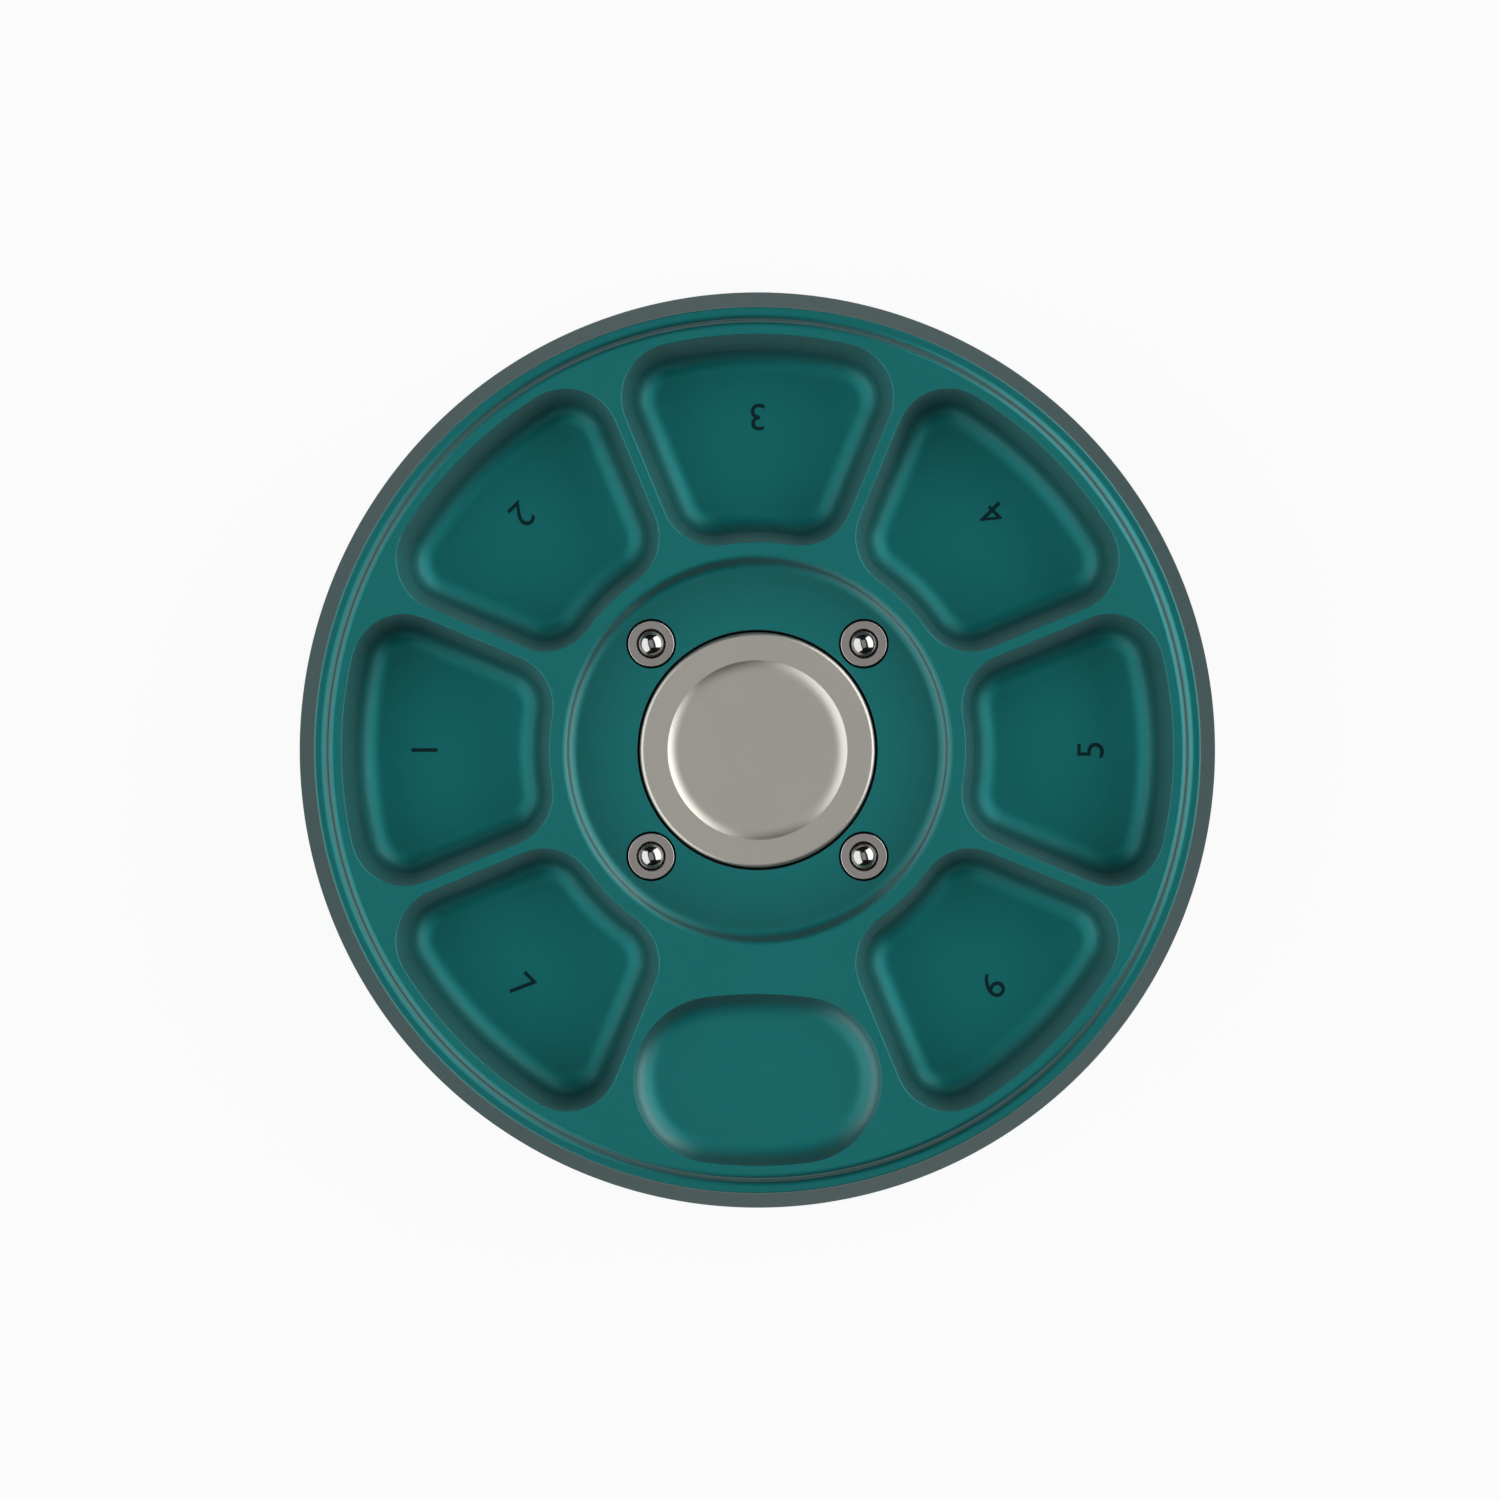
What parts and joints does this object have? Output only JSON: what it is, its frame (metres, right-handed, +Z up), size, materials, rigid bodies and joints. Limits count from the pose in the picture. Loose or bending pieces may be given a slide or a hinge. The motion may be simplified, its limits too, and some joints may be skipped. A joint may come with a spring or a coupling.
{
  "type": "rotating pill organizer",
  "caption": "Round weekly pill organizer: a metal tray with a compartment for each day and a thumb dish turns on a low base round a fixed hub cap.",
  "frame": {"origin": "the point of the standing surface below the spindle's axis, midway under the object", "axes": "+Z up along the spindle's axis, -Y towards the thumb dish with the tray at rest, +X to the right seen from the dish"},
  "size_m": [0.112, 0.112, 0.022],
  "materials": {
    "teal_anodised": "satin teal anodised",
    "satin_hub": "satin",
    "dark_base": "dark anodised",
    "ground_steel": "ground",
    "bright_steel": "polished",
    "spring_steel": "drawn",
    "bronze": "machined",
    "rubber": "matt"
  },
  "bodies": {
    "base": {"base_plate": "dark_base", "foot_1": "rubber", "foot_2": "rubber", "foot_3": "rubber", "foot_4": "rubber", "spindle": "ground_steel", "spindle_screw": "ground_steel", "retaining_clip": "spring_steel", "hub_cap": "satin_hub", "lower_race": "ground_steel"},
    "turntable": {"tray": "teal_anodised", "bush": "bronze", "upper_race": "ground_steel", "plunger_sleeve_1": "bright_steel", "plunger_sleeve_2": "bright_steel", "plunger_sleeve_3": "bright_steel", "plunger_sleeve_4": "bright_steel", "plunger_spring_1": "spring_steel", "plunger_spring_2": "spring_steel", "plunger_spring_3": "spring_steel", "plunger_spring_4": "spring_steel"},
    "bearing": {"ball_cage": "bronze", "bearing_ball_1": "ground_steel", "bearing_ball_2": "ground_steel", "bearing_ball_3": "ground_steel", "bearing_ball_4": "ground_steel", "bearing_ball_5": "ground_steel", "bearing_ball_6": "ground_steel", "bearing_ball_7": "ground_steel", "bearing_ball_8": "ground_steel", "bearing_ball_9": "ground_steel", "bearing_ball_10": "ground_steel", "bearing_ball_11": "ground_steel", "bearing_ball_12": "ground_steel"},
    "detent_1": {"plunger_ball_1": "bright_steel"},
    "detent_2": {"plunger_ball_2": "bright_steel"},
    "detent_3": {"plunger_ball_3": "bright_steel"},
    "detent_4": {"plunger_ball_4": "bright_steel"}
  },
  "joints": [
    {"name": "tray_spin", "type": "hinge", "parent": "base", "child": "turntable", "pos_m": [0, 0, 0.0073], "axis": [0, 0, 1], "continuous": true},
    {"name": "cage_spin", "type": "hinge", "parent": "base", "child": "bearing", "pos_m": [0, 0, 0.0073], "axis": [0, 0, 1], "continuous": true},
    {"name": "detent_1_press", "type": "slide", "parent": "turntable", "child": "detent_1", "axis": [0, 0, 1], "range_m": [-0.0007, 0], "stiffness_N_per_m": 800, "springref_m": 0.002, "deforming": ["plunger_spring_1"]},
    {"name": "detent_2_press", "type": "slide", "parent": "turntable", "child": "detent_2", "axis": [0, 0, 1], "range_m": [-0.0007, 0], "stiffness_N_per_m": 800, "springref_m": 0.002, "deforming": ["plunger_spring_2"]},
    {"name": "detent_3_press", "type": "slide", "parent": "turntable", "child": "detent_3", "axis": [0, 0, 1], "range_m": [-0.0007, 0], "stiffness_N_per_m": 800, "springref_m": 0.002, "deforming": ["plunger_spring_3"]},
    {"name": "detent_4_press", "type": "slide", "parent": "turntable", "child": "detent_4", "axis": [0, 0, 1], "range_m": [-0.0007, 0], "stiffness_N_per_m": 800, "springref_m": 0.002, "deforming": ["plunger_spring_4"]}
  ],
  "couplings": [
    {"joint": "cage_spin", "follows": "tray_spin", "ratio": 0.5}
  ]
}
